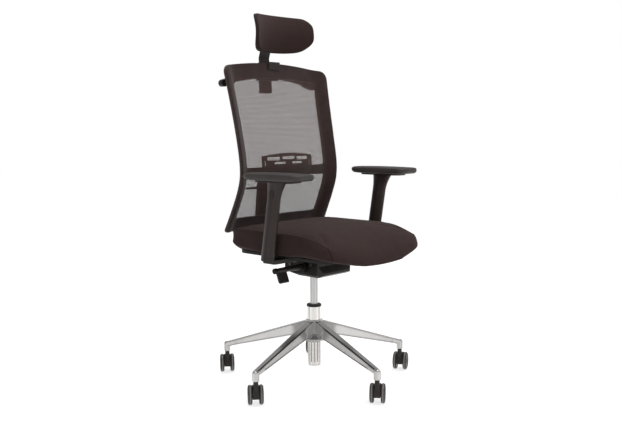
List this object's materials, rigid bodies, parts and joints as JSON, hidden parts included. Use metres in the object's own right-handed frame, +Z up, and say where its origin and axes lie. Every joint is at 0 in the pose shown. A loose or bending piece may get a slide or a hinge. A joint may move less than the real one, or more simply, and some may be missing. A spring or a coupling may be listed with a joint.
{
  "type": "swivel office chair",
  "caption": "Swivel office chair with a mesh back, lumbar panel, headrest, height-adjustable arms, synchronised tilt and a five-leg caster base.",
  "frame": {"origin": "on the floor, on the axis of the column", "axes": "+Z up along the column, the sitter faces -Y, +X is the sitter's left"},
  "size_m": [0.7016, 0.7026, 1.282],
  "materials": {
    "polished_aluminium": "polished die-cast aluminium",
    "chrome": "bright chrome plating",
    "satin_steel": "satin ground steel",
    "steel": "plain zinc-plated steel",
    "black_plastic": "fine-grained black nylon",
    "frame_plastic": "glass-filled nylon, matt",
    "arm_plastic": "fine-grained black nylon",
    "mechanism_black": "black powder coat",
    "bracket_black": "black powder coat",
    "soft_pad": "soft polyurethane",
    "seat_fabric": "woven upholstery cloth over foam",
    "mesh_fabric": "open polyester net",
    "caster_plastic": "black nylon",
    "caster_tread": "grey polyurethane tread on nylon"
  },
  "bodies": {
    "base": {"star_base": "polished_aluminium", "column_tube": "chrome", "column_bushing": "black_plastic", "thrust_washer": "steel"},
    "caster_1": {"caster_1_hood": "caster_plastic", "caster_1_stem": "steel", "caster_1_axle": "steel"},
    "caster_1_wheel_left": {"caster_1_wheel_left": "caster_tread"},
    "caster_1_wheel_right": {"caster_1_wheel_right": "caster_tread"},
    "caster_2": {"caster_2_hood": "caster_plastic", "caster_2_stem": "steel", "caster_2_axle": "steel"},
    "caster_2_wheel_left": {"caster_2_wheel_left": "caster_tread"},
    "caster_2_wheel_right": {"caster_2_wheel_right": "caster_tread"},
    "caster_3": {"caster_3_hood": "caster_plastic", "caster_3_stem": "steel", "caster_3_axle": "steel"},
    "caster_3_wheel_left": {"caster_3_wheel_left": "caster_tread"},
    "caster_3_wheel_right": {"caster_3_wheel_right": "caster_tread"},
    "caster_4": {"caster_4_hood": "caster_plastic", "caster_4_stem": "steel", "caster_4_axle": "steel"},
    "caster_4_wheel_left": {"caster_4_wheel_left": "caster_tread"},
    "caster_4_wheel_right": {"caster_4_wheel_right": "caster_tread"},
    "caster_5": {"caster_5_hood": "caster_plastic", "caster_5_stem": "steel", "caster_5_axle": "steel"},
    "caster_5_wheel_left": {"caster_5_wheel_left": "caster_tread"},
    "caster_5_wheel_right": {"caster_5_wheel_right": "caster_tread"},
    "rod": {"piston_rod": "steel", "rod_clip": "steel"},
    "mechanism": {"gas_cylinder": "satin_steel", "mechanism_housing": "mechanism_black", "mechanism_front_cover": "black_plastic", "pivot_pins": "steel", "tilt_spring": "steel"},
    "height_lever": {"height_lever": "black_plastic"},
    "release_pin": {"release_pin": "steel"},
    "tilt_lock": {"tilt_lock_rod": "black_plastic"},
    "back": {"back_upright": "mechanism_black", "back_frame": "frame_plastic", "back_mesh": "mesh_fabric", "headrest_bracket": "black_plastic", "coat_hanger": "black_plastic"},
    "seat": {"seat_pan": "black_plastic", "seat_cushion": "seat_fabric", "arm_bracket_left": "bracket_black", "arm_bracket_right": "bracket_black", "arm_bolts": "steel"},
    "arm_sleeve_left": {"arm_sleeve_left": "arm_plastic", "arm_pad_plate_left": "black_plastic"},
    "arm_pad_left": {"arm_pad_left": "soft_pad"},
    "arm_button_left": {"arm_button_left": "black_plastic"},
    "arm_sleeve_right": {"arm_sleeve_right": "arm_plastic", "arm_pad_plate_right": "black_plastic"},
    "arm_pad_right": {"arm_pad_right": "soft_pad"},
    "arm_button_right": {"arm_button_right": "black_plastic"},
    "lumbar": {"lumbar_support": "frame_plastic"},
    "headrest_post": {"headrest_post": "black_plastic"},
    "headrest_pad": {"headrest_pad": "seat_fabric"}
  },
  "joints": [
    {"name": "caster_1_swivel", "type": "hinge", "parent": "base", "child": "caster_1", "pos_m": [0.23649, 0.23159, 0.065], "axis": [0, 0, 1], "continuous": true},
    {"name": "caster_1_roll_left", "type": "hinge", "parent": "caster_1", "child": "caster_1_wheel_left", "pos_m": [0.25354, 0.24204, 0.0325], "axis": [-0.5225, 0.8526, 0], "continuous": true},
    {"name": "caster_1_roll_right", "type": "hinge", "parent": "caster_1", "child": "caster_1_wheel_right", "pos_m": [0.25354, 0.24204, 0.0325], "axis": [-0.5225, 0.8526, 0], "continuous": true},
    {"name": "caster_2_swivel", "type": "hinge", "parent": "base", "child": "caster_2", "pos_m": [-0.14717, 0.29648, 0.065], "axis": [0, 0, 1], "continuous": true},
    {"name": "caster_2_roll_left", "type": "hinge", "parent": "caster_2", "child": "caster_2_wheel_left", "pos_m": [-0.135, 0.31235, 0.0325], "axis": [-0.7934, 0.6088, 0], "continuous": true},
    {"name": "caster_2_roll_right", "type": "hinge", "parent": "caster_2", "child": "caster_2_wheel_right", "pos_m": [-0.135, 0.31235, 0.0325], "axis": [-0.7934, 0.6088, 0], "continuous": true},
    {"name": "caster_3_swivel", "type": "hinge", "parent": "base", "child": "caster_3", "pos_m": [-0.32745, -0.04835, 0.065], "axis": [0, 0, 1], "continuous": true},
    {"name": "caster_3_roll_left", "type": "hinge", "parent": "caster_3", "child": "caster_3_wheel_left", "pos_m": [-0.3147, -0.03294, 0.0325], "axis": [-0.7705, 0.6374, 0], "continuous": true},
    {"name": "caster_3_roll_right", "type": "hinge", "parent": "caster_3", "child": "caster_3_wheel_right", "pos_m": [-0.3147, -0.03294, 0.0325], "axis": [-0.7705, 0.6374, 0], "continuous": true},
    {"name": "caster_4_swivel", "type": "hinge", "parent": "base", "child": "caster_4", "pos_m": [-0.0552, -0.32637, 0.065], "axis": [0, 0, 1], "continuous": true},
    {"name": "caster_4_roll_left", "type": "hinge", "parent": "caster_4", "child": "caster_4_wheel_left", "pos_m": [-0.0388, -0.31492, 0.0325], "axis": [-0.5721, 0.8202, 0], "continuous": true},
    {"name": "caster_4_roll_right", "type": "hinge", "parent": "caster_4", "child": "caster_4_wheel_right", "pos_m": [-0.0388, -0.31492, 0.0325], "axis": [-0.5721, 0.8202, 0], "continuous": true},
    {"name": "caster_5_swivel", "type": "hinge", "parent": "base", "child": "caster_5", "pos_m": [0.29333, -0.15335, 0.065], "axis": [0, 0, 1], "continuous": true},
    {"name": "caster_5_roll_left", "type": "hinge", "parent": "caster_5", "child": "caster_5_wheel_left", "pos_m": [0.31115, -0.14427, 0.0325], "axis": [-0.454, 0.891, 0], "continuous": true},
    {"name": "caster_5_roll_right", "type": "hinge", "parent": "caster_5", "child": "caster_5_wheel_right", "pos_m": [0.31115, -0.14427, 0.0325], "axis": [-0.454, 0.891, 0], "continuous": true},
    {"name": "seat_swivel", "type": "hinge", "parent": "base", "child": "rod", "pos_m": [0, 0, 0.07], "axis": [0, 0, 1], "continuous": true},
    {"name": "seat_height", "type": "slide", "parent": "rod", "child": "mechanism", "axis": [0, 0, 1], "range_m": [-0.085, 0.035]},
    {"name": "height_lever_lift", "type": "hinge", "parent": "mechanism", "child": "height_lever", "pos_m": [-0.15, -0.024, 0.421], "axis": [-1, 0, 0], "range_deg": [0, 10], "stiffness_Nm_per_rad": 1.5, "springref_deg": -8.59},
    {"name": "release_press", "type": "slide", "parent": "mechanism", "child": "release_pin", "axis": [0, 0, -1], "range_m": [0, 0.005]},
    {"name": "tilt_lock_pull", "type": "slide", "parent": "mechanism", "child": "tilt_lock", "axis": [-1, 0, 0], "range_m": [0, 0.01]},
    {"name": "back_recline", "type": "hinge", "parent": "mechanism", "child": "back", "pos_m": [0, 0.036, 0.424], "axis": [-1, 0, 0], "range_deg": [0, 21], "stiffness_Nm_per_rad": 60, "springref_deg": -20.05},
    {"name": "seat_tilt", "type": "hinge", "parent": "mechanism", "child": "seat", "pos_m": [0, -0.062, 0.43], "axis": [-1, 0, 0], "range_deg": [0, 8.4]},
    {"name": "arm_height_left", "type": "slide", "parent": "seat", "child": "arm_sleeve_left", "axis": [0, -0.1616, 0.9869], "range_m": [0, 0.08]},
    {"name": "arm_pad_slide_left", "type": "slide", "parent": "arm_sleeve_left", "child": "arm_pad_left", "axis": [0, -1, 0], "range_m": [-0.025, 0.025]},
    {"name": "arm_button_press_left", "type": "slide", "parent": "arm_sleeve_left", "child": "arm_button_left", "axis": [-1, 0, 0], "range_m": [0, 0.0025], "stiffness_N_per_m": 600, "springref_m": -0.002},
    {"name": "arm_height_right", "type": "slide", "parent": "seat", "child": "arm_sleeve_right", "axis": [0, -0.1616, 0.9869], "range_m": [0, 0.08]},
    {"name": "arm_pad_slide_right", "type": "slide", "parent": "arm_sleeve_right", "child": "arm_pad_right", "axis": [0, -1, 0], "range_m": [-0.025, 0.025]},
    {"name": "arm_button_press_right", "type": "slide", "parent": "arm_sleeve_right", "child": "arm_button_right", "axis": [1, 0, 0], "range_m": [0, 0.0025], "stiffness_N_per_m": 600, "springref_m": -0.002},
    {"name": "lumbar_height", "type": "slide", "parent": "back", "child": "lumbar", "axis": [0, 0.0995, 0.995], "range_m": [-0.003, 0.016]},
    {"name": "headrest_height", "type": "slide", "parent": "back", "child": "headrest_post", "axis": [0, 0.0593, 0.9982], "range_m": [-0.015, 0.045]},
    {"name": "headrest_tilt", "type": "hinge", "parent": "headrest_post", "child": "headrest_pad", "pos_m": [0, 0.217, 1.204], "axis": [1, 0, 0], "range_deg": [-15, 15]}
  ],
  "couplings": [
    {"joint": "seat_tilt", "follows": "back_recline", "ratio": 0.4},
    {"joint": "release_press", "follows": "height_lever_lift", "m_per_rad": 0.0282}
  ]
}
